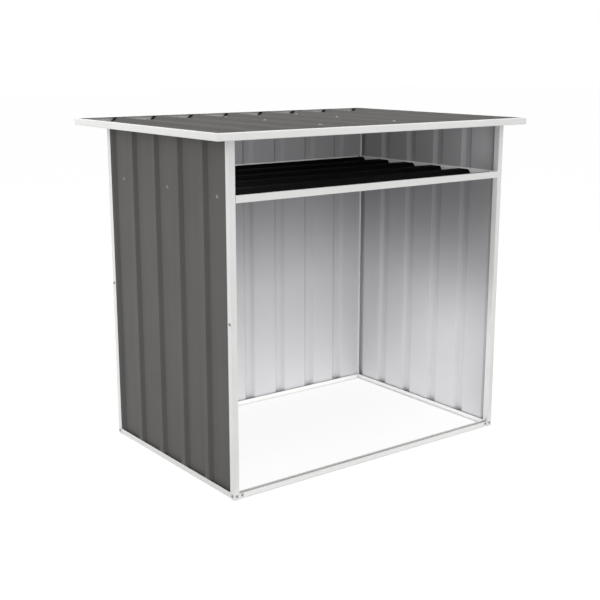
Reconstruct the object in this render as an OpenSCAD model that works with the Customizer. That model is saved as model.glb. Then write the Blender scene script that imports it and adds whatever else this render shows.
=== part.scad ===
// Metal log store: an open-fronted steel shelter with ribbed sheet walls, a flat
// ribbed roof and one ribbed shelf under it.
// Millimetres, +Z up. The origin is on the ground, under the middle of the roof.
// The open front faces -Y.

/* [Overall] */
// Width over the corner posts
body_w = 1360; // [1000:10:1800]
// Depth over the corner posts
body_d = 910; // [700:10:1200]
// Height of the underside of the roof trim above the ground
eaves_h = 1318; // [1250:2:1800]

/* [Frame] */
// Thickness of the folded frame pieces
frame_t = 1; // [0.8:0.1:1.2]
// Clearance between pieces that sit in or on each other
fit = 0.2; // [0.1:0.05:0.3]
// Outside width of the floor and top channels
channel_w = 21; // [20:0.5:26]
// Height of the floor channels
floor_rail_h = 23; // [18:1:30]
// Height of the top channels
top_rail_h = 15; // [12:1:18]
// Depth of a corner post along the side wall
post_leg = 27; // [25:1:40]
// Width of the flange of a back post that laps the back wall
back_flange = 20; // [15:1:30]
// Length of the sleeve that joins the two halves of the front floor channel
splice_l = 120; // [60:5:200]
// Gap between the two halves of a floor channel
joint_gap = 0.4; // [0.2:0.1:1]

/* [Wall sheets] */
// Thickness of the wall, shelf and roof sheets
sheet_t = 0.8; // [0.5:0.1:1]
// Distance between the ribs of the walls and the shelf
rib_pitch = 174; // [150:1:200]
// Height of the wall ribs
rib_h = 14; // [10:0.5:15]
// Width of the flat top of a wall or roof rib
rib_crest = 28; // [20:1:40]
// Width of each sloping side of a wall or roof rib
rib_run = 15; // [10:1:24]
// Room between a wall sheet and the top channel that it stands in
wall_head_gap = 1; // [0.5:0.1:3]

/* [Roof] */
// How far the roof stands out at the left and right
side_overhang = 80; // [40:5:120]
// How far the roof stands out at the front
front_overhang = 50; // [20:5:100]
// How far the roof stands out at the back
back_overhang = 124; // [40:2:160]
// Height of the roof trim
trim_h = 27; // [26:1:34]
// How far the roof trim hangs below the top of the top channels
trim_drop = 10; // [6:1:11]
// Width of the lip of the roof trim over the edge of the sheet
trim_lip = 8; // [5:1:12]
// Width of the return at the bottom of the roof trim
trim_return = 12; // [8:1:20]
// Distance between the ribs of the roof
roof_pitch = 186.5; // [160:0.5:220]
// Height of the roof ribs
roof_rib_h = 13; // [9:0.5:14]
// Distance from the front and back of the frame to the middle of the outer purlins
purlin_inset = 130; // [80:2:200]

/* [Shelf] */
// Clear height between the shelf rails and the underside of the roof trim
shelf_bay_h = 193; // [120:1:400]
// Height of the shelf rails
shelf_rail_h = 27; // [24:1:36]
// Width of the ledge of a shelf rail under the sheet
shelf_ledge = 22; // [18:1:26]
// Width of the folded lip at the top of the front shelf rail
shelf_lip = 6; // [4:1:10]
// Height of the shelf ribs
shelf_rib_h = 20; // [10:1:20]
// Width of the flat top of a shelf rib
shelf_crest = 58; // [40:1:70]
// Width of each sloping side of a shelf rib
shelf_run = 15; // [10:1:24]
// Distance from the front of the frame to the middle of the first shelf rib
shelf_first_rib = 26; // [0:1:80]

/* [Hidden] */

white_paint = "#e6e6e4";
grey_paint = "#626160";
black_paint = "#161617";

// Plan of the frame, with the roof centred on the origin
x_side = body_w / 2;
y_front = -(body_d + back_overhang - front_overhang) / 2;
y_back = y_front + body_d;
y_middle = (y_front + y_back) / 2;

// The channels sit inside the folds of the posts
post_lap = frame_t + fit;
post_w = channel_w + 2 * post_lap;
x_rail = x_side - post_lap;
x_inner = x_rail - channel_w;
side_rail_l = body_d - 2 * post_lap;
cross_rail_l = 2 * (x_inner - fit);
top_z = eaves_h + trim_drop;

// The wall sheets stand in the channels, with the ribs against the outer flange
wall_depth = rib_h + sheet_t;
wall_inset = post_lap + frame_t + fit;
wall_face = wall_inset + wall_depth;
wall_top = top_z - frame_t - wall_head_gap;
x_post_face = x_side - post_w;
back_wall_w = 2 * (x_post_face - fit);

// Plan and heights of the roof
x_roof = x_side + side_overhang;
y_roof_front = y_front - front_overhang;
y_roof_back = y_back + back_overhang;
y_roof_middle = (y_roof_front + y_roof_back) / 2;
roof_edge = frame_t + fit;
roof_w = 2 * (x_roof - roof_edge);
roof_d = y_roof_back - y_roof_front - 2 * roof_edge;

// The shelf rests on the ledges of four rails
shelf_z = eaves_h - shelf_bay_h - shelf_rail_h;
shelf_seat_z = shelf_z + frame_t;
shelf_w = 2 * (x_post_face - fit);
y_shelf_front = y_front + frame_t + fit;
y_shelf_back = y_back - wall_face - fit - frame_t - fit;
x_shelf_rail = x_side - wall_face - fit;
shelf_side_l = body_d - 2 * (post_leg + fit);

// Share of the full rib height at a place across a sheet, with a rib at zero
function rib_share(u, pitch, crest, run) =
    let (d = abs(u - pitch * round(u / pitch)))
    max(0, min(1, (crest / 2 + run - d) / run));

// Places of the folds across a sheet, with its two edges
function rib_folds(lo, hi, pitch, crest, run) = concat(
    [lo],
    [for (k = [floor(lo / pitch) : ceil(hi / pitch)])
        for (s = [-crest / 2 - run, -crest / 2, crest / 2, crest / 2 + run])
            let (u = k * pitch + s)
            if (u > lo && u < hi) u],
    [hi]
);

// Ribbed sheet along Z: its flats face -Y at y = 0 and its ribs rise towards +Y.
// The shift moves the ribs along X.
module ribbed_sheet(width, length, pitch, height, crest, run, shift = 0) {
    folds = rib_folds(-width / 2 - shift, width / 2 - shift, pitch, crest, run);
    last = len(folds) - 1;
    under = [for (u = folds) [u + shift, height * rib_share(u, pitch, crest, run)]];
    over = [for (i = [0 : last]) [under[last - i].x, under[last - i].y + sheet_t]];
    linear_extrude(height = length) polygon(concat(under, over));
}

// Sheet with the ribs of the walls and the roof
module clad_sheet(width, length, pitch, height, shift = 0) {
    color(grey_paint) ribbed_sheet(width, length, pitch, height, rib_crest, rib_run, shift);
}

// Channel along X, centred, open towards +Z
module channel(length, width, height) {
    translate([-length / 2, -width / 2, 0]) cube([length, width, frame_t]);
    for (y = [-width / 2, width / 2 - frame_t])
        translate([-length / 2, y, 0]) cube([length, frame_t, height]);
}

// Two halves of a floor channel meet on the middle of the frame
half_rail_l = (cross_rail_l - joint_gap) / 2;
half_rail_x = (half_rail_l + joint_gap) / 2;
cross_rail_inset = post_lap + channel_w / 2;

module floor_rail_half(side, y) {
    color(white_paint) translate([side * half_rail_x, y, 0])
        channel(half_rail_l, channel_w, floor_rail_h);
}

module floor_rail_side(side) {
    color(white_paint) translate([side * (x_rail - channel_w / 2), y_middle, 0])
        rotate([0, 0, 90]) channel(side_rail_l, channel_w, floor_rail_h);
}

module floor_rail_front_left() { floor_rail_half(-1, y_front + cross_rail_inset); }
module floor_rail_front_right() { floor_rail_half(1, y_front + cross_rail_inset); }
module floor_rail_back_left() { floor_rail_half(-1, y_back - cross_rail_inset); }
module floor_rail_back_right() { floor_rail_half(1, y_back - cross_rail_inset); }
module floor_rail_left() { floor_rail_side(-1); }
module floor_rail_right() { floor_rail_side(1); }

// Sleeve inside the front floor channel, across its joint
module floor_splice_front() {
    color(white_paint) translate([0, y_front + cross_rail_inset, frame_t])
        channel(splice_l, channel_w - 2 * (frame_t + fit), floor_rail_h - 2 * frame_t);
}

// Left post: its web faces -Y, and its two legs hold the edge of the side wall.
// The inner leg stops clear of the floor and top channels that pass below and above it.
module post_section(flange) {
    leg_z = floor_rail_h + fit;
    leg_top = top_z - top_rail_h - fit;
    cube([frame_t, post_leg, top_z]);
    cube([post_w + flange, frame_t, top_z]);
    translate([post_w - frame_t, 0, leg_z]) cube([frame_t, post_leg, leg_top - leg_z]);
}

module post_front(side) {
    color(white_paint) mirror([side > 0 ? 1 : 0, 0, 0])
        translate([-x_side, y_front, 0]) post_section(0);
}

module post_back(side) {
    color(white_paint) mirror([side > 0 ? 1 : 0, 0, 0])
        translate([-x_side, y_back, 0]) mirror([0, 1, 0]) post_section(back_flange);
}

module post_front_left() { post_front(-1); }
module post_front_right() { post_front(1); }
module post_back_left() { post_back(-1); }
module post_back_right() { post_back(1); }

// Side walls have a flat in the middle, and the back wall has a rib there
module side_wall(side) {
    mirror([side > 0 ? 1 : 0, 0, 0]) translate([-x_side + wall_face, y_middle, frame_t])
        rotate([0, 0, 90])
            clad_sheet(side_rail_l, wall_top - frame_t, rib_pitch, rib_h, rib_pitch / 2);
}

module left_wall() { side_wall(-1); }
module right_wall() { side_wall(1); }

module back_wall() {
    translate([0, y_back - wall_face, frame_t])
        clad_sheet(back_wall_w, wall_top - frame_t, rib_pitch, rib_h);
}

// Top channels are open downwards, over the top edges of the walls
module top_channel(length) {
    translate([0, 0, top_z]) mirror([0, 0, 1]) channel(length, channel_w, top_rail_h);
}

module top_rail_cross(y) {
    color(white_paint) translate([0, y, 0]) top_channel(cross_rail_l);
}

module top_rail_side(side) {
    color(white_paint) translate([side * (x_rail - channel_w / 2), y_middle, 0])
        rotate([0, 0, 90]) top_channel(side_rail_l);
}

module top_rail_front() { top_rail_cross(y_front + cross_rail_inset); }
module top_rail_back() { top_rail_cross(y_back - cross_rail_inset); }
module top_rail_left() { top_rail_side(-1); }
module top_rail_right() { top_rail_side(1); }

// Purlins cross between the side top channels, under the rows of roof screws
module purlin_front() { top_rail_cross(y_front + purlin_inset); }
module purlin_middle() { top_rail_cross(y_roof_middle); }
module purlin_back() { top_rail_cross(y_back - purlin_inset); }

// Roof ribs run from front to back
module roof_sheet() {
    translate([0, y_roof_back - roof_edge, top_z + fit]) rotate([90, 0, 0])
        clad_sheet(roof_w, roof_d, roof_pitch, roof_rib_h);
}

// Length of roof trim along X: its outer face is at y = 0, and both ends are mitred
module roof_trim(length) {
    deep = max(trim_lip, trim_return);
    intersection() {
        union() {
            translate([-length / 2, 0, 0]) cube([length, frame_t, trim_h]);
            translate([-length / 2, 0, 0]) cube([length, trim_return, frame_t]);
            translate([-length / 2, 0, trim_h - frame_t]) cube([length, trim_lip, frame_t]);
        }
        linear_extrude(height = trim_h) polygon([
            [-length / 2, 0], [length / 2, 0], [length / 2 - deep, deep], [-length / 2 + deep, deep]
        ]);
    }
}

module roof_trim_cross(turn, y) {
    color(white_paint) translate([0, y, eaves_h]) rotate([0, 0, turn]) roof_trim(2 * x_roof);
}

module roof_trim_side(turn, x) {
    color(white_paint) translate([x, 0, eaves_h]) rotate([0, 0, turn])
        roof_trim(y_roof_back - y_roof_front);
}

module roof_trim_front() { roof_trim_cross(0, y_roof_front); }
module roof_trim_back() { roof_trim_cross(180, y_roof_back); }
module roof_trim_left() { roof_trim_side(-90, -x_roof); }
module roof_trim_right() { roof_trim_side(90, x_roof); }

// Shelf angle along X: its upright is at y = 0, and its ledge reaches towards +Y
module shelf_angle(length) {
    translate([-length / 2, 0, 0]) cube([length, frame_t, shelf_rail_h]);
    translate([-length / 2, 0, 0]) cube([length, shelf_ledge, frame_t]);
}

module shelf_rail_front() {
    color(white_paint) translate([0, y_front, shelf_z]) {
        shelf_angle(shelf_w);
        translate([-shelf_w / 2, 0, shelf_rail_h - frame_t]) cube([shelf_w, shelf_lip, frame_t]);
    }
}

module shelf_rail_back() {
    color(white_paint) translate([0, y_back - wall_face - fit, shelf_z]) rotate([0, 0, 180])
        shelf_angle(2 * (x_shelf_rail - shelf_ledge - fit));
}

module shelf_rail_side(side) {
    color(white_paint) translate([side * x_shelf_rail, y_middle, shelf_z])
        rotate([0, 0, side * 90]) shelf_angle(shelf_side_l);
}

module shelf_rail_left() { shelf_rail_side(-1); }
module shelf_rail_right() { shelf_rail_side(1); }

// Shelf ribs run from side to side
module shelf_sheet() {
    shelf_d = y_shelf_back - y_shelf_front;
    y_mid = (y_shelf_front + y_shelf_back) / 2;
    first_rib = y_front + shelf_first_rib - y_mid;
    color(black_paint) translate([-shelf_w / 2, y_mid, shelf_seat_z]) rotate([90, 0, 90])
        ribbed_sheet(shelf_d, shelf_w, rib_pitch, shelf_rib_h, shelf_crest, shelf_run, first_rib);
}

floor_rail_front_left();
floor_rail_front_right();
floor_splice_front();
floor_rail_back_left();
floor_rail_back_right();
floor_rail_left();
floor_rail_right();
post_front_left();
post_front_right();
post_back_left();
post_back_right();
left_wall();
right_wall();
back_wall();
top_rail_front();
top_rail_back();
top_rail_left();
top_rail_right();
purlin_front();
purlin_middle();
purlin_back();
roof_sheet();
roof_trim_front();
roof_trim_back();
roof_trim_left();
roof_trim_right();
shelf_rail_front();
shelf_rail_back();
shelf_rail_left();
shelf_rail_right();
shelf_sheet();
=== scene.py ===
import math

import bmesh
import bpy
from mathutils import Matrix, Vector


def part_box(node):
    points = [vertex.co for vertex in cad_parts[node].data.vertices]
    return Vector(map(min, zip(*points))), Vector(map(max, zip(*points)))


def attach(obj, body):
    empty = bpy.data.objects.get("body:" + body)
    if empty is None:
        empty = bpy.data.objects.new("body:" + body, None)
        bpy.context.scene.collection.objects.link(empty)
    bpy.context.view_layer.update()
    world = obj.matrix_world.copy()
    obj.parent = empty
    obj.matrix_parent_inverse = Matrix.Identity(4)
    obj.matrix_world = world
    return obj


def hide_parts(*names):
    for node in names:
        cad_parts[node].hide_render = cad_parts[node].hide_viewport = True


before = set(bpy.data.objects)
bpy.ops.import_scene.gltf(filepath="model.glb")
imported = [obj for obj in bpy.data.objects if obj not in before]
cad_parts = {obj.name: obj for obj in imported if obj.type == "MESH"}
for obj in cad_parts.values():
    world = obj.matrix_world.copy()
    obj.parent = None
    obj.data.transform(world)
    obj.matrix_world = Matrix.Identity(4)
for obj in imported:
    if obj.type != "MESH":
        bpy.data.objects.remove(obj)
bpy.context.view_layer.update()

# Sizes of the metal, in metres
FRAME_T = 0.001
SHEET_T = 0.0008
FRAME_BEND = 0.0022
SHEET_BEND = 0.0045
SHELF_BEND = 0.006
BEND_STEPS = 5
BEND_POINTS = BEND_STEPS + 3
BEND_EDGE = 0.0006
LEG_GAP = 0.0002
SHARP_ANGLE = math.radians(35)

# Ribs of the sheets
RIB_PITCH = 0.174
RIB_CREST = 0.028
RIB_RUN = 0.015
ROOF_PITCH = 0.1865
SHELF_CREST = 0.058
SHELF_RUN = 0.015
SHELF_FIRST_RIB = 0.026

# Folded lips of the roof trim and the front shelf rail
TRIM_LIP = 0.008
RAIL_LIP = 0.006

# Screws: pan heads with a cross recess, on washers
SCREW_STEPS = 32
CROSS_STEPS = 3
HEAD_RADIUS = 0.0042
HEAD_HEIGHT = 0.0028
RECESS_DEPTH = 0.0014
WASHER_RADIUS = 0.0062
WASHER_T = 0.0011
WASHER_SINK = 0.0002
RAIL_SCREW_OFFSET = 0.024
CORNER_SCREW_Z = 0.0145
POST_SCREW_Z = 0.667
RAIL_SCREW_PANS = 2
BACK_SCREW_PANS = (-3.5, -1.5, 1.5, 3.5)
ROOF_SCREW_RIBS = (-1, 1)

# Foam seals at the ends of the roof's ribs, near black so that they also stand in for the shadow in the gaps
# there
SEAL_SIDE = 0.008
SEAL_TOP = 0.0014
SEAL_LENGTH = 0.014
SEAL_ROUND = 0.0008

# Studio floor: its size, its drop below the object and its share of light
FLOOR_SIZE = 80.0
FLOOR_BELOW = 0.0005
FLOOR_GLOW = 0.86
FLOOR_SHADOW = 0.2
FLOOR_BOUNCE = 0.5

# Light: the even light of the room, the radiance of each soft lamp and the beam of wall_fill
WORLD_LIGHT = 0.66
LEFT_LIGHT = 2.6
TOP_LIGHT = 2.0
FRONT_LIGHT = 13.5
FLOOR_LIGHT = 1.45
BAY_LIGHT = 1.9
BAY_SIDE_LIGHT = 5.0
WALL_LIGHT = 0.9
RAIL_LIGHT = 0.5
WALL_BEAM = math.radians(35)

# Heights of the lamps on the floor, of wall_fill and of the lamps in the shelf bay
FLOOR_LAMP_Z = 0.001
WALL_LAMP_Z = 0.35
BAY_LAMP_Z = 1.215

# Paint: waves a metre of its tone patches, streaks and orange peel, the peel's depth and the noise's ranges
TONE_SCALE = 5.0
STREAK_SCALE = 60.0
PEEL_SCALE = 420.0
PEEL_DEPTH = 0.0004
ROUGHNESS_SPREAD = 0.06
NOISE_RANGE = (0.3, 0.7)

# Stretch of the streaks along each sheet, the grey of walls and roof, and the heights over which painted
# shade darkens the inner coat towards the top
UPRIGHT_STREAKS = (1, 1, 0.02)
ROOF_STREAKS = (1, 0.02, 1)
SHELF_STREAKS = (0.02, 1, 1)
GREY = (0.116, 0.1125, 0.108)
PAINTED_SHADE_HEIGHTS = (0.5, 1.05)

# Camera, fitted to the photograph's frame
IMAGE_PIXELS = 600
FOCAL_PIXELS = 1052.2
SENSOR_MM = 36.0
CAMERA_AT = (-2.6513, -3.5163, 1.5962)
CAMERA_PITCH = math.radians(13.082)
CAMERA_YAW = math.radians(36.922)


# Folded sections

def turn(vector, angle):
    """A 2-D vector turned to the left by an angle."""
    c, s = math.cos(angle), math.sin(angle)
    return Vector((c * vector.x - s * vector.y, s * vector.x + c * vector.y))


def fold(corners, radius):
    """Centreline of a folded strip as (point, left normal) pairs, with an arc at each inner corner.
    A narrow strip on each side of an arc keeps the smooth shading off the flats."""
    corners = [Vector(c) for c in corners]
    runs = [(b - a).normalized() for a, b in zip(corners, corners[1:])]
    line = [(corners[0], turn(runs[0], math.pi / 2))]
    for corner, before, after in zip(corners[1:], runs, runs[1:]):
        bend = before.angle_signed(after) * -1
        side = 1 if bend > 0 else -1
        start = corner - before * radius * math.tan(abs(bend) / 2)
        normal = turn(before, math.pi / 2)
        centre = start + normal * radius * side
        line.append((start - before * BEND_EDGE, normal))
        for step in range(BEND_STEPS + 1):
            out = turn(normal, bend * step / BEND_STEPS)
            line.append((centre - out * radius * side, out))
        line.append((line[-1][0] + after * BEND_EDGE, line[-1][1]))
    line.append((corners[-1], turn(runs[-1], math.pi / 2)))
    return line


def rib_line(low, high, first, pitch, crest, run, height):
    """Corners of a ribbed sheet from low to high, with a rib centred on first and at each pitch from it."""
    def level(u):
        off = abs(u - first - pitch * round((u - first) / pitch))
        return height * max(0.0, min(1.0, (crest / 2 + run - off) / run))

    folds = []
    for k in range(math.floor((low - first) / pitch), math.ceil((high - first) / pitch) + 1):
        middle = first + k * pitch
        folds += [middle + s for s in (-crest / 2 - run, -crest / 2, crest / 2, crest / 2 + run)]
    inside = [u for u in folds if low + SHEET_BEND < u < high - SHEET_BEND]
    return [(u, level(u)) for u in [low, *inside, high]]


# Meshes

def finish_mesh(name, bm, materials, slot, *nodes):
    """Turns a bmesh into a piece with smooth faces and sharp edges, riding on the part."""
    bmesh.ops.recalc_face_normals(bm, faces=bm.faces)
    for edge in bm.edges:
        edge.smooth = len(edge.link_faces) == 2 and edge.calc_face_angle() < SHARP_ANGLE
    for face in bm.faces:
        face.smooth = True
    mesh = bpy.data.meshes.new(name)
    bm.to_mesh(mesh)
    bm.free()
    for material in materials:
        mesh.materials.append(material)
    piece = bpy.data.objects.new(name, mesh)
    bpy.context.scene.collection.objects.link(piece)
    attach(piece, "root")
    if nodes:
        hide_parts(*nodes)
    return piece


def add_sheet(bm, line, stations, place, thickness, back=0, keep=None):
    """Adds sheet metal: a folded centreline swept along stations, with two faces and its cut edges.
    place turns a section point and a station into a point. keep says which cells are there."""
    rows, columns = len(line) - 1, len(stations) - 1
    corners = {}

    def corner(i, j, side):
        if (i, j, side) not in corners:
            point, normal = line[i]
            corners[i, j, side] = bm.verts.new(place(point + normal * side * thickness / 2, stations[j]))
        return corners[i, j, side]

    def kept(i, j):
        inside = 0 <= i < rows and 0 <= j < columns
        return inside and (keep is None or keep(i, j))

    for i in range(rows):
        for j in range(columns):
            if not kept(i, j):
                continue
            ring = [(i, j), (i + 1, j), (i + 1, j + 1), (i, j + 1)]
            bm.faces.new([corner(*c, 1) for c in ring])
            bm.faces.new([corner(*c, -1) for c in reversed(ring)]).material_index = back
            beyond = [(i, j - 1), (i + 1, j), (i, j + 1), (i - 1, j)]
            for a, b, cell in zip(ring, ring[1:] + ring[:1], beyond):
                if not kept(*cell):
                    bm.faces.new([corner(*a, -1), corner(*b, -1), corner(*b, 1), corner(*a, 1)])


def folded_piece(name, line, stations, place, thickness, materials, slot, *nodes, back=0, keep=None):
    """A piece of one folded sheet."""
    bm = bmesh.new()
    add_sheet(bm, line, stations, place, thickness, back, keep)
    return finish_mesh(name, bm, materials, slot, *nodes)


# Materials

def new_material(name, **values):
    """A Principled material with plain socket values. Returns the material, its nodes, links and shader."""
    material = bpy.data.materials.new(name)
    material.use_nodes = True
    nodes, links = material.node_tree.nodes, material.node_tree.links
    shader = nodes["Principled BSDF"]
    for socket, value in values.items():
        shader.inputs[socket.replace("_", " ")].default_value = value
    return material, nodes, links, shader


def noise(nodes, links, scale, detail=2.0, stretch=(1, 1, 1)):
    """Noise in the part's own coordinates. The scale is in waves a metre."""
    place = nodes.new("ShaderNodeTexCoord")
    mapping = nodes.new("ShaderNodeMapping")
    mapping.inputs["Scale"].default_value = stretch
    texture = nodes.new("ShaderNodeTexNoise")
    texture.inputs["Scale"].default_value = scale
    texture.inputs["Detail"].default_value = detail
    links.new(place.outputs["Object"], mapping.inputs["Vector"])
    links.new(mapping.outputs["Vector"], texture.inputs["Vector"])
    return texture.outputs["Fac"]


def spread(nodes, links, source, low, high):
    """Maps a noise to a range of values."""
    ramp = nodes.new("ShaderNodeMapRange")
    ramp.inputs["From Min"].default_value = NOISE_RANGE[0]
    ramp.inputs["From Max"].default_value = NOISE_RANGE[1]
    ramp.inputs["To Min"].default_value = low
    ramp.inputs["To Max"].default_value = high
    links.new(source, ramp.inputs["Value"])
    return ramp.outputs["Result"]


def toned(nodes, links, colour, variation):
    """A colour with broad soft patches that are a little darker and lighter."""
    mix = nodes.new("ShaderNodeMix")
    mix.data_type = "RGBA"
    mix.inputs["A"].default_value = (*[c * (1 - variation) for c in colour], 1)
    mix.inputs["B"].default_value = (*[c * (1 + variation) for c in colour], 1)
    links.new(spread(nodes, links, noise(nodes, links, TONE_SCALE, detail=4.0), 0, 1), mix.inputs["Factor"])
    return mix.outputs["Result"]


def painted_shade_by_height(nodes, links, colour, upper, heights):
    """Fades from one colour to another between two heights of the part: painted shade, darker towards the
    top.
    """
    place = nodes.new("ShaderNodeTexCoord")
    axes = nodes.new("ShaderNodeSeparateXYZ")
    links.new(place.outputs["Object"], axes.inputs["Vector"])
    rise = nodes.new("ShaderNodeMapRange")
    rise.interpolation_type = "SMOOTHSTEP"
    rise.inputs["From Min"].default_value = heights[0]
    rise.inputs["From Max"].default_value = heights[1]
    links.new(axes.outputs["Z"], rise.inputs["Value"])
    mix = nodes.new("ShaderNodeMix")
    mix.data_type = "RGBA"
    links.new(rise.outputs["Result"], mix.inputs["Factor"])
    links.new(colour, mix.inputs["A"])
    links.new(upper, mix.inputs["B"])
    return mix.outputs["Result"]


def paint(name, colour, roughness, specular, variation, peel, stretch=(1, 1, 1), upper=None):
    """Baked paint on steel: broad tone variation, faint rolling streaks and a fine orange peel.
    An upper colour is painted shade: a darker colour that the paint fades to towards the top of the walls."""
    material, nodes, links, shader = new_material(name, Specular_IOR_Level=specular)
    base = toned(nodes, links, colour, variation)
    # Painted shade: the base colour darkens towards the top
    if upper:
        base = painted_shade_by_height(nodes, links, base, toned(nodes, links, upper, variation), PAINTED_SHADE_HEIGHTS)
    links.new(base, shader.inputs["Base Color"])
    streaks = noise(nodes, links, STREAK_SCALE, detail=3.0, stretch=stretch)
    rough = spread(nodes, links, streaks, roughness - ROUGHNESS_SPREAD, roughness + ROUGHNESS_SPREAD)
    links.new(rough, shader.inputs["Roughness"])
    bump = nodes.new("ShaderNodeBump")
    bump.inputs["Strength"].default_value = peel
    bump.inputs["Distance"].default_value = PEEL_DEPTH
    links.new(noise(nodes, links, PEEL_SCALE), bump.inputs["Height"])
    links.new(bump.outputs["Normal"], shader.inputs["Normal"])
    return material


white = paint("white_paint", (0.80, 0.80, 0.79), roughness=0.45, specular=0.4, variation=0.02, peel=0.12)
grey_outside = paint("grey_paint", GREY, roughness=0.55, specular=0.15, variation=0.04, peel=0.18,
                     stretch=UPRIGHT_STREAKS)
# Inner coat: pale low down, with painted shade making it mid grey towards the top, under the shelf and roof
inner_coat_painted_shade = paint("back_coat_with_painted_shade", (0.585, 0.585, 0.60), roughness=0.55, specular=0.3, variation=0.02,
                    peel=0.15, stretch=UPRIGHT_STREAKS, upper=(0.33, 0.33, 0.34))
roof_top = paint("roof_paint", GREY, roughness=0.7, specular=0.0, variation=0.04, peel=0.18,
                 stretch=ROOF_STREAKS)
black = paint("black_paint", (0.0045, 0.0045, 0.0048), roughness=0.7, specular=0.04, variation=0.06, peel=0.2,
              stretch=SHELF_STREAKS)
zinc = paint("zinc_screw", (0.36, 0.36, 0.355), roughness=0.35, specular=0.5, variation=0.08, peel=0.1)
# Near-black seal colour: partly the foam's own colour, partly painted shade for the gaps at the rib ends
seal_paint_and_shade = paint("seal_foam_and_painted_shade", (0.012, 0.012, 0.012), roughness=0.75, specular=0.3, variation=0.1, peel=0.3)


# Places of the frame

post_low, post_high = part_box("post_front_left")
cap_low, cap_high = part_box("top_rail_left")
X_SIDE = -post_low.x
Y_FRONT = post_low.y
Y_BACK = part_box("post_back_left")[1].y
LEG_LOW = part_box("floor_rail_left")[1].z + LEG_GAP
LEG_HIGH = cap_low.z - LEG_GAP
HALF_T = FRAME_T / 2


def along_x(point, station):
    """Place of a section point on a piece that runs along X."""
    return Vector((station, point.x, point.y))


def along_y(point, station):
    """Place of a section point on a piece that runs along Y."""
    return Vector((point.x, station, point.y))


# Channels of the floor and the top

def channel(node, upside_down=False):
    """A channel over its node's box, along its longest side."""
    low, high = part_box(node)
    lengthwise = high.x - low.x > high.y - low.y
    side = 1 if lengthwise else 0
    a, b = low[side] + HALF_T, high[side] - HALF_T
    base, rim = low.z + HALF_T, high.z
    if upside_down:
        base, rim = high.z - HALF_T, low.z
    line = fold([(a, rim), (a, base), (b, base), (b, rim)], FRAME_BEND)
    ends = (low.x, high.x) if lengthwise else (low.y, high.y)
    place = along_x if lengthwise else along_y
    return folded_piece(node + "_metal", line, ends, place, FRAME_T, [white], "frame_white", node)


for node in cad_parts:
    if node.startswith("floor_"):
        channel(node)
    elif node.startswith(("top_rail_", "purlin_")):
        channel(node, upside_down=True)


# Corner posts

def post(node, left, front):
    """A corner post: its web on the front or back face, a leg along the side wall and an inner leg
    that stops clear of the floor and top channels. A back post's web reaches on as a flange."""
    low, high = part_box(node)
    outer, sign_x = (low.x, 1) if left else (high.x, -1)
    face, sign_y = (low.y, 1) if front else (high.y, -1)
    web = post_high.x - post_low.x
    leg = high.y - low.y

    def place(point, station):
        return Vector((outer + sign_x * point.x, face + sign_y * point.y, station))

    bm = bmesh.new()
    stations = [low.z, LEG_LOW, LEG_HIGH, high.z]
    if front:
        corners = [(HALF_T, leg), (HALF_T, HALF_T), (web - HALF_T, HALF_T), (web - HALF_T, leg)]
        # The second bend and the inner leg are there only in the middle stretch
        second_bend = BEND_POINTS + 2
        add_sheet(bm, fold(corners, FRAME_BEND), stations, place, FRAME_T,
                  keep=lambda i, j: i < second_bend or j == 1)
    else:
        line = fold([(HALF_T, leg), (HALF_T, HALF_T), (high.x - low.x, HALF_T)], FRAME_BEND)
        add_sheet(bm, line, [low.z, high.z], place, FRAME_T)
        line = fold([(web - HALF_T, FRAME_T), (web - HALF_T, leg)], FRAME_BEND)
        add_sheet(bm, line, [LEG_LOW, LEG_HIGH], place, FRAME_T)
    return finish_mesh(node + "_metal", bm, [white], "frame_white", node)


post("post_front_left", True, True)
post("post_front_right", False, True)
post("post_back_left", True, False)
post("post_back_right", False, False)


# Ribbed sheets

def side_wall(node, left):
    """A side wall with its ribs to the outside and a pan in its middle."""
    low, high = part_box(node)
    pan, sign = (high.x - SHEET_T / 2, -1) if left else (low.x + SHEET_T / 2, 1)
    height = high.x - low.x - SHEET_T
    first = (low.y + high.y + RIB_PITCH) / 2
    corners = rib_line(low.y, high.y, first, RIB_PITCH, RIB_CREST, RIB_RUN, height)

    def place(point, station):
        return Vector((pan + sign * point.y, point.x, station))

    folded_piece(node + "_metal", fold(corners, SHEET_BEND), (low.z, high.z), place, SHEET_T,
                 [grey_outside, inner_coat_painted_shade], "sheet_grey", node, back=1)


def back_wall():
    """The back wall with its ribs to the outside, one of them in its middle."""
    low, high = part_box("back_wall")
    pan = low.y + SHEET_T / 2
    height = high.y - low.y - SHEET_T
    corners = rib_line(low.x, high.x, 0, RIB_PITCH, RIB_CREST, RIB_RUN, height)

    def place(point, station):
        return Vector((point.x, pan + point.y, station))

    folded_piece("back_wall_metal", fold(corners, SHEET_BEND), (low.z, high.z), place, SHEET_T,
                 [grey_outside, inner_coat_painted_shade], "sheet_grey", "back_wall", back=1)


def roof_sheet():
    """The roof with its ribs upwards, from front to back."""
    low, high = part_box("roof_sheet")
    pan = low.z + SHEET_T / 2
    height = high.z - low.z - SHEET_T
    corners = rib_line(low.x, high.x, 0, ROOF_PITCH, RIB_CREST, RIB_RUN, height)

    def place(point, station):
        return Vector((point.x, station, pan + point.y))

    folded_piece("roof_sheet_metal", fold(corners, SHEET_BEND), (low.y, high.y), place, SHEET_T,
                 [roof_top, inner_coat_painted_shade], "sheet_grey", "roof_sheet", back=1)


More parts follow.
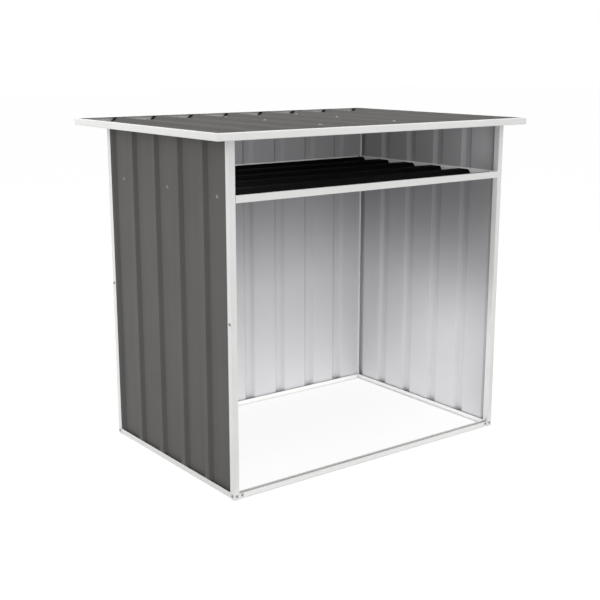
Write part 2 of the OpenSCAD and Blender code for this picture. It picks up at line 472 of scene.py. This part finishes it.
def shelf_sheet():
    """The shelf with its wide ribs upwards, from side to side."""
    low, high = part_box("shelf_sheet")
    pan = low.z + SHEET_T / 2
    height = high.z - low.z - SHEET_T
    corners = rib_line(low.y, high.y, Y_FRONT + SHELF_FIRST_RIB, RIB_PITCH, SHELF_CREST, SHELF_RUN, height)

    def place(point, station):
        return Vector((station, point.x, pan + point.y))

    folded_piece("shelf_sheet_metal", fold(corners, SHELF_BEND), (low.x, high.x), place, SHEET_T,
                 [black], "shelf_black", "shelf_sheet")


side_wall("left_wall", True)
side_wall("right_wall", False)
back_wall()
roof_sheet()
shelf_sheet()


# Roof trim, mitred at the corners

def trim(node):
    """One side of the roof trim: a return at the bottom, the face and a lip over the sheet."""
    low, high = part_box(node)
    lengthwise = high.x - low.x > high.y - low.y
    half = (high.x - low.x) / 2 if lengthwise else (high.y - low.y) / 2
    deep = (high.y - low.y) if lengthwise else (high.x - low.x)
    line = fold([(deep, low.z + HALF_T), (HALF_T, low.z + HALF_T), (HALF_T, high.z - HALF_T),
                 (TRIM_LIP, high.z - HALF_T)], FRAME_BEND)
    centre = (low + high) / 2
    inward = -1 if (centre.y if lengthwise else centre.x) > 0 else 1

    def place(point, station):
        reach = station * (half - point.x)
        if lengthwise:
            edge = low.y if inward > 0 else high.y
            return Vector((centre.x + reach, edge + inward * point.x, point.y))
        edge = low.x if inward > 0 else high.x
        return Vector((edge + inward * point.x, centre.y + reach, point.y))

    return folded_piece(node + "_metal", line, (-1, 1), place, FRAME_T, [white], "frame_white", node)


for node in ("roof_trim_front", "roof_trim_back", "roof_trim_left", "roof_trim_right"):
    trim(node)


# Shelf rails

def shelf_rail(node, lip=0.0):
    """A shelf angle: its ledge under the sheet, its upright and, at the front, a lip at the top."""
    low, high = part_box(node)
    lengthwise = high.x - low.x > high.y - low.y
    side = 1 if lengthwise else 0
    centre = (low + high) / 2
    from_low = centre[side] < 0
    edge, inward = (low[side], 1) if from_low else (high[side], -1)
    deep = high[side] - low[side]
    corners = [(edge + inward * deep, low.z + HALF_T), (edge + inward * HALF_T, low.z + HALF_T)]
    if lip:
        corners += [(edge + inward * HALF_T, high.z - HALF_T), (edge + inward * lip, high.z - HALF_T)]
    else:
        corners += [(edge + inward * HALF_T, high.z)]
    ends = (low.x, high.x) if lengthwise else (low.y, high.y)
    place = along_x if lengthwise else along_y
    return folded_piece(node + "_metal", fold(corners, FRAME_BEND), ends, place, FRAME_T,
                        [white], "frame_white", node)


shelf_rail("shelf_rail_front", lip=RAIL_LIP)
shelf_rail("shelf_rail_back")
shelf_rail("shelf_rail_left")
shelf_rail("shelf_rail_right")


# Foam seals that close the roof's ribs against the trim; their near-black colour also stands in for the
# shadow in the gaps at the rib ends

def rib_seals_and_shade():
    """A foam wedge against each flank of the ribs, at both ends of the roof and clear of the side trims, dark
    so that it also stands in for the shadow in the gaps there.
    """
    low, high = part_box("roof_sheet")
    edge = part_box("roof_trim_right")[0].x
    pan, top = low.z + SHEET_T, high.z
    foot, crest = RIB_CREST / 2 + RIB_RUN, RIB_CREST / 2
    wedge = [(foot, pan), (foot + SEAL_SIDE, pan), (crest + SEAL_SIDE, top + SEAL_TOP), (crest, top)]
    count = math.floor(high.x / ROOF_PITCH)
    bm = bmesh.new()
    for k in range(-count, count + 1):
        for side in (-1, 1):
            outline = [(k * ROOF_PITCH + side * x, z) for x, z in wedge]
            if max(abs(x) for x, z in outline) > edge:
                continue
            for y in (low.y, high.y - SEAL_LENGTH):
                near = [bm.verts.new((x, y, z)) for x, z in outline]
                far = [bm.verts.new((x, y + SEAL_LENGTH, z)) for x, z in outline]
                bm.faces.new(near)
                bm.faces.new(reversed(far))
                for a in range(len(outline)):
                    b = (a + 1) % len(outline)
                    bm.faces.new([near[b], near[a], far[a], far[b]])
    bmesh.ops.bevel(bm, geom=bm.edges[:], offset=SEAL_ROUND, segments=2, affect="EDGES", profile=0.5)
    finish_mesh("rib_end_seals_and_shade", bm, [seal_paint_and_shade], None)


rib_seals_and_shade()


# Screws

def add_screw(bm, at, out):
    """A pan-head screw with a cross recess on its washer, standing on a surface that faces out."""
    up = Vector(out).normalized()
    side = up.orthogonal().normalized()
    across = up.cross(side)
    foot = Vector(at)
    head, top = HEAD_RADIUS, WASHER_T + HEAD_HEIGHT
    # Radius, height and share of the recess at each ring, from the washer's foot to the recess
    profile = [
        (WASHER_RADIUS, -WASHER_SINK, 0),
        (WASHER_RADIUS, 0.7 * WASHER_T, 0),
        (0.93 * WASHER_RADIUS, WASHER_T, 0),
        (head, WASHER_T, 0),
        (head, WASHER_T + 0.45 * HEAD_HEIGHT, 0),
        (0.93 * head, WASHER_T + 0.75 * HEAD_HEIGHT, 0),
        (0.78 * head, WASHER_T + 0.93 * HEAD_HEIGHT, 0),
        (0.6 * head, top, 0),
        (0.54 * head, top, 0.6),
        (0.3 * head, top, 1),
    ]
    rings = []
    for radius, height, sunk in profile:
        ring = []
        for step in range(SCREW_STEPS):
            angle = math.tau * step / SCREW_STEPS
            in_cross = (step + CROSS_STEPS // 2) % (SCREW_STEPS // 4) < CROSS_STEPS
            depth = RECESS_DEPTH * sunk if in_cross else 0
            spoke = side * math.cos(angle) + across * math.sin(angle)
            ring.append(bm.verts.new(foot + spoke * radius + up * (height - depth)))
        rings.append(ring)
    for lower, upper in zip(rings, rings[1:]):
        for a in range(SCREW_STEPS):
            b = (a + 1) % SCREW_STEPS
            bm.faces.new([lower[a], lower[b], upper[b], upper[a]])
    bm.faces.new(reversed(rings[0]))
    centre = bm.verts.new(foot + up * (top - RECESS_DEPTH))
    for a in range(SCREW_STEPS):
        bm.faces.new([rings[-1][a], rings[-1][(a + 1) % SCREW_STEPS], centre])


def frame_screws():
    """Screws through the posts: into the floor and top channels at their ends and into the walls half way."""
    web = (post_high.x - post_low.x) / 2
    leg = (post_high.y - post_low.y) / 2
    front_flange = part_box("floor_rail_front_left")[0].y
    back_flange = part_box("floor_rail_back_left")[1].y
    cap_z = (cap_low.z + cap_high.z) / 2
    bm = bmesh.new()
    for side in (-1, 1):
        for y, out, flange in ((Y_FRONT, -1, front_flange), (Y_BACK, 1, back_flange)):
            for z in (CORNER_SCREW_Z, cap_z):
                add_screw(bm, (side * (X_SIDE - web), y, z), (0, out, 0))
            add_screw(bm, (side * (X_SIDE - web - RAIL_SCREW_OFFSET), flange, CORNER_SCREW_Z), (0, out, 0))
            for z in (CORNER_SCREW_Z, POST_SCREW_Z, cap_z):
                add_screw(bm, (side * X_SIDE, y - out * leg, z), (side, 0, 0))
        add_screw(bm, (side * (X_SIDE - web), Y_BACK, POST_SCREW_Z), (0, 1, 0))
    finish_mesh("frame_screws", bm, [zinc], None)


def wall_screws():
    """Screws through the pans of the walls into the shelf rails behind them."""
    rail_low, rail_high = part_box("shelf_rail_left")
    z = (rail_low.z + rail_high.z) / 2
    side_low, side_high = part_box("right_wall")
    pan = side_low.x + SHEET_T
    centre = (side_low.y + side_high.y) / 2
    bm = bmesh.new()
    for k in (-RAIL_SCREW_PANS, 0, RAIL_SCREW_PANS):
        for side in (-1, 1):
            add_screw(bm, (side * pan, centre + k * RIB_PITCH, z), (side, 0, 0))
    back_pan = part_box("back_wall")[0].y + SHEET_T
    for k in BACK_SCREW_PANS:
        add_screw(bm, (k * RIB_PITCH, back_pan, z), (0, 1, 0))
    finish_mesh("wall_screws", bm, [zinc], None)


def roof_screws():
    """Screws through the rib crests of the roof into the purlins."""
    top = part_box("roof_sheet")[1].z
    bm = bmesh.new()
    for node in ("purlin_front", "purlin_middle", "purlin_back"):
        low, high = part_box(node)
        for k in ROOF_SCREW_RIBS:
            add_screw(bm, (k * ROOF_PITCH, (low.y + high.y) / 2, top), (0, 0, 1))
    finish_mesh("roof_screws", bm, [zinc], None)


frame_screws()
wall_screws()
roof_screws()


# Floor, light and camera

def seen_directly(nodes, links):
    """1 for what the camera sees directly, in a reflection or through glass, and 0 for light on surfaces."""
    path = nodes.new("ShaderNodeLightPath")
    seen = path.outputs["Is Camera Ray"]
    for ray in ("Is Glossy Ray", "Is Transmission Ray"):
        either = nodes.new("ShaderNodeMath")
        either.operation = "MAXIMUM"
        links.new(seen, either.inputs[0])
        links.new(path.outputs[ray], either.inputs[1])
        seen = either.outputs[0]
    return seen


def floor_material():
    """A white floor that still takes the object's shadow. Other surfaces get the light of a pale floor."""
    material, nodes, links, shader = new_material("studio_floor", Roughness=0.9, Specular_IOR_Level=0.1)
    shader.inputs["Base Color"].default_value = (FLOOR_BOUNCE, FLOOR_BOUNCE, FLOOR_BOUNCE, 1)
    glow = nodes.new("ShaderNodeEmission")
    glow.inputs["Strength"].default_value = FLOOR_GLOW
    pale = nodes.new("ShaderNodeBsdfDiffuse")
    pale.inputs["Color"].default_value = (FLOOR_SHADOW, FLOOR_SHADOW, FLOOR_SHADOW, 1)
    both = nodes.new("ShaderNodeAddShader")
    links.new(glow.outputs[0], both.inputs[0])
    links.new(pale.outputs[0], both.inputs[1])
    mix = nodes.new("ShaderNodeMixShader")
    links.new(seen_directly(nodes, links), mix.inputs["Fac"])
    links.new(shader.outputs[0], mix.inputs[1])
    links.new(both.outputs[0], mix.inputs[2])
    links.new(mix.outputs[0], nodes["Material Output"].inputs["Surface"])
    return material


def studio_floor():
    """A wide flat floor just below the object."""
    size, below = FLOOR_SIZE / 2, FLOOR_BELOW
    mesh = bpy.data.meshes.new("studio_floor")
    corners = [(-size, -size, -below), (size, -size, -below), (size, size, -below), (-size, size, -below)]
    mesh.from_pydata(corners, [], [(0, 1, 2, 3)])
    mesh.materials.append(floor_material())
    floor = bpy.data.objects.new("studio_floor", mesh)
    bpy.context.scene.collection.objects.link(floor)


def studio_world(strength):
    """Even light from all sides, with a white background where it is seen directly."""
    world = bpy.data.worlds.new("studio")
    bpy.context.scene.world = world
    world.use_nodes = True
    nodes, links = world.node_tree.nodes, world.node_tree.links
    light = nodes["Background"]
    light.inputs["Color"].default_value = (1, 1, 1, 1)
    light.inputs["Strength"].default_value = strength
    backdrop = nodes.new("ShaderNodeBackground")
    backdrop.inputs["Color"].default_value = (1, 1, 1, 1)
    backdrop.inputs["Strength"].default_value = 1.0
    mix = nodes.new("ShaderNodeMixShader")
    links.new(seen_directly(nodes, links), mix.inputs["Fac"])
    links.new(light.outputs[0], mix.inputs[1])
    links.new(backdrop.outputs[0], mix.inputs[2])
    links.new(mix.outputs[0], nodes["World Output"].inputs["Surface"])


def studio_camera():
    """The camera in the photograph's place."""
    data = bpy.data.cameras.new("camera")
    data.sensor_width = SENSOR_MM
    data.lens = SENSOR_MM * FOCAL_PIXELS / IMAGE_PIXELS
    camera = bpy.data.objects.new("camera", data)
    camera.location = CAMERA_AT
    camera.rotation_euler = (math.pi / 2 - CAMERA_PITCH, 0, -CAMERA_YAW)
    bpy.context.scene.collection.objects.link(camera)
    bpy.context.scene.camera = camera


def softbox(name, radiance, at, towards, size, beam=math.pi):
    """A soft rectangular lamp that neither the camera nor a reflection shows. Its power goes with its area,
    so a change of size leaves its brightness as it is."""
    lamp = bpy.data.lights.new(name, "AREA")
    lamp.shape = "RECTANGLE"
    lamp.size, lamp.size_y = size
    lamp.energy = radiance * math.pi * lamp.size * lamp.size_y
    lamp.spread = beam
    box = bpy.data.objects.new(name, lamp)
    box.location = at
    box.rotation_euler = (Vector(towards) - Vector(at)).to_track_quat("-Z", "Y").to_euler()
    box.visible_camera = False
    box.visible_glossy = False
    bpy.context.scene.collection.objects.link(box)


studio_floor()
studio_world(WORLD_LIGHT)
softbox("left_light", LEFT_LIGHT, at=(-4.0, 2.5, 1.6), towards=(-0.7, 0.0, 0.7), size=(3.0, 3.0))
softbox("top_light", TOP_LIGHT, at=(0.0, 0.0, 4.0), towards=(0.0, 0.0, 0.0), size=(4.0, 4.0))
softbox("front_strip", FRONT_LIGHT, at=(-0.6, -6.0, 1.22), towards=(-0.6, 0.0, 1.22), size=(7.0, 0.3))
softbox("floor_bounce", FLOOR_LIGHT, at=(0.0, -0.037, FLOOR_LAMP_Z), towards=(0.0, -0.037, 1.0),
        size=(1.3, 0.86))
softbox("bay_fill", BAY_LIGHT, at=(0.0, -0.46, BAY_LAMP_Z), towards=(0.0, 0.0, BAY_LAMP_Z), size=(1.2, 0.15))
softbox("bay_side_fill", BAY_SIDE_LIGHT, at=(-0.625, -0.05, BAY_LAMP_Z), towards=(0.0, -0.05, BAY_LAMP_Z),
        size=(0.75, 0.15))
softbox("wall_fill", WALL_LIGHT, at=(-0.6, -0.6, WALL_LAMP_Z), towards=(0.67, -0.24, WALL_LAMP_Z),
        size=(0.4, 0.2), beam=WALL_BEAM)
softbox("rail_bounce", RAIL_LIGHT, at=(0.0, -0.535, FLOOR_LAMP_Z), towards=(0.0, -0.535, 1.0),
        size=(1.36, 0.08))
studio_camera()
bpy.context.scene.view_settings.view_transform = "Standard"
